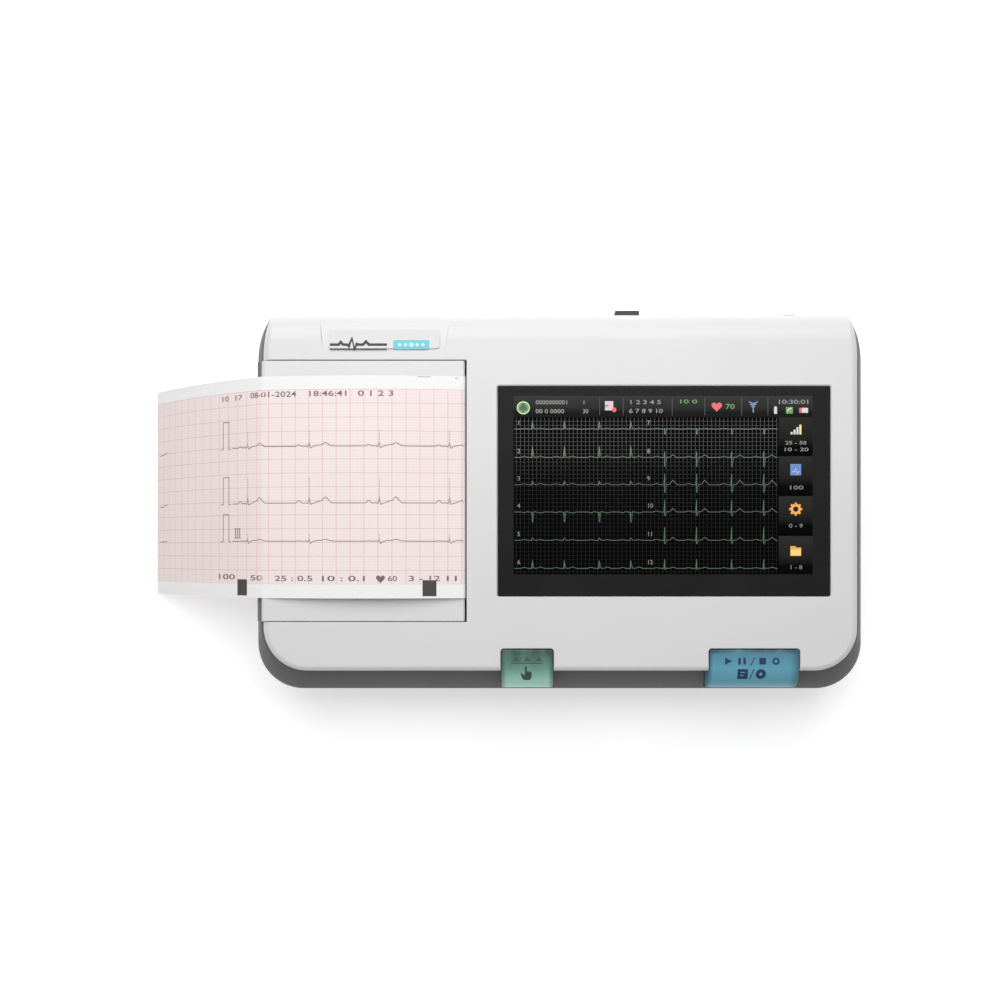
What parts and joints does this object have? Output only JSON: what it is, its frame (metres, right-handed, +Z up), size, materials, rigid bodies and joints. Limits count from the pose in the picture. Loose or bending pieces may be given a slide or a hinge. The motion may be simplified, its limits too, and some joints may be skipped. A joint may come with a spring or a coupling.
{
  "type": "ecg machine",
  "caption": "Flat desktop ECG recorder with a screen at the right, a hinged chart paper door at the left, a printed paper strip and two coloured keys on the front edge.",
  "frame": {"origin": "centre of the body on the table plane, in the middle of the middle rubber foot", "axes": "+X to the right seen from the keys, +Y to the rear edge, +Z up"},
  "size_m": [0.2721, 0.1406, 0.0494],
  "materials": {
    "white_shell": "satin",
    "grey_shell": "matte",
    "black_plastic": "matte",
    "grey_plastic": "matte",
    "ivory_plastic": "satin",
    "yellow_plastic": "satin",
    "green_key": "satin",
    "blue_key": "satin",
    "dark_glass": "gloss",
    "lcd": "satin",
    "steel": "satin",
    "bright_steel": "polished",
    "aluminium": "satin",
    "brass": "satin",
    "rubber": "matte",
    "ceramic_head": "gloss",
    "paper_white": "matte",
    "paper_chart": "matte",
    "card": "matte",
    "board_green": "satin",
    "ribbon": "satin",
    "battery_wrap": "satin",
    "teal_badge": "satin"
  },
  "bodies": {
    "machine": {"upper_housing": "white_shell", "lower_housing": "grey_shell", "door_hinge_pin": "steel", "display_glass": "dark_glass", "display_gasket": "rubber", "lcd_module": "lcd", "display_cable": "ribbon", "latch_pin": "steel", "latch_spring": "steel", "gear_stud": "steel", "stepper_motor": "steel", "recorder_chassis": "steel", "print_head": "ceramic_head", "print_head_heatsink": "aluminium", "print_head_bracket": "steel", "print_head_springs": "steel", "print_head_cable": "ribbon", "bracket_screws": "steel", "tear_bar": "bright_steel", "paper_tray": "grey_plastic", "main_board": "board_green", "main_processor": "black_plastic", "board_components": "black_plastic", "front_end_board": "board_green", "front_end_shield": "steel", "key_board": "board_green", "key_switch": "black_plastic", "power_switch": "black_plastic", "patient_socket": "grey_plastic", "patient_jackscrews": "bright_steel", "power_inlet": "black_plastic", "usb_port": "bright_steel", "battery_pack": "battery_wrap", "battery_cover": "grey_plastic", "battery_cover_screws": "steel", "speaker": "black_plastic", "board_screws": "steel", "housing_screws": "steel", "badge_plate": "teal_badge", "rubber_feet": "rubber"},
    "door": {"recorder_door": "white_shell", "door_trim": "grey_shell", "door_inner_frame": "black_plastic", "platen_bushings": "brass", "paper_strip": "paper_chart"},
    "platen": {"platen_roller": "rubber", "platen_shaft": "bright_steel", "platen_gear": "ivory_plastic"},
    "reduction": {"reduction_gear": "ivory_plastic"},
    "pinion": {"motor_pinion": "brass", "motor_shaft": "bright_steel"},
    "roll": {"paper_roll": "paper_white", "paper_core": "card", "paper_spindle": "grey_plastic"},
    "open_key": {"open_button": "green_key"},
    "latch": {"latch_lever": "yellow_plastic"},
    "print_key": {"print_button": "blue_key"},
    "print_plunger": {"key_switch_plunger": "ivory_plastic"},
    "power_key": {"power_button": "black_plastic"}
  },
  "joints": [
    {"name": "door_hinge", "type": "hinge", "parent": "machine", "child": "door", "pos_m": [-0.1062, 0.004, 0.041], "axis": [0, -1, 0], "range_deg": [0, 85], "deforming": ["paper_strip"]},
    {"name": "platen_spin", "type": "hinge", "parent": "door", "child": "platen", "pos_m": [-0.0391, 0.00535, 0.038], "axis": [0, -1, 0], "continuous": true},
    {"name": "reduction_spin", "type": "hinge", "parent": "machine", "child": "reduction", "pos_m": [-0.0391, 0.051, 0.0296], "axis": [0, -1, 0], "continuous": true},
    {"name": "pinion_spin", "type": "hinge", "parent": "machine", "child": "pinion", "pos_m": [-0.0355, 0.051, 0.01984], "axis": [0, -1, 0], "continuous": true},
    {"name": "roll_spin", "type": "hinge", "parent": "machine", "child": "roll", "pos_m": [-0.075, 0.00535, 0.0235], "axis": [0, -1, 0], "continuous": true},
    {"name": "open_key_press", "type": "slide", "parent": "machine", "child": "open_key", "axis": [0, 0, -1], "range_m": [0, 0.0018], "stiffness_N_per_m": 300},
    {"name": "latch_swing", "type": "hinge", "parent": "machine", "child": "latch", "pos_m": [-0.026, -0.042, 0.027], "axis": [0, 1, 0], "range_deg": [0, 8.2], "deforming": ["latch_spring"]},
    {"name": "print_key_press", "type": "slide", "parent": "machine", "child": "print_key", "axis": [0, 0, -1], "range_m": [0, 0.0006], "stiffness_N_per_m": 1500},
    {"name": "print_plunger_press", "type": "slide", "parent": "machine", "child": "print_plunger", "axis": [0, 0, -1], "range_m": [0, 0.0006]},
    {"name": "power_key_press", "type": "slide", "parent": "machine", "child": "power_key", "axis": [0, -1, 0], "range_m": [0, 0.0008], "stiffness_N_per_m": 1500}
  ],
  "couplings": [
    {"joint": "platen_spin", "follows": "roll_spin", "ratio": 3.4831},
    {"joint": "reduction_spin", "follows": "roll_spin", "ratio": -5.6601},
    {"joint": "pinion_spin", "follows": "roll_spin", "ratio": 18.867},
    {"joint": "latch_swing", "follows": "open_key_press", "rad_per_m": 78},
    {"joint": "print_plunger_press", "follows": "print_key_press", "ratio": 1}
  ]
}
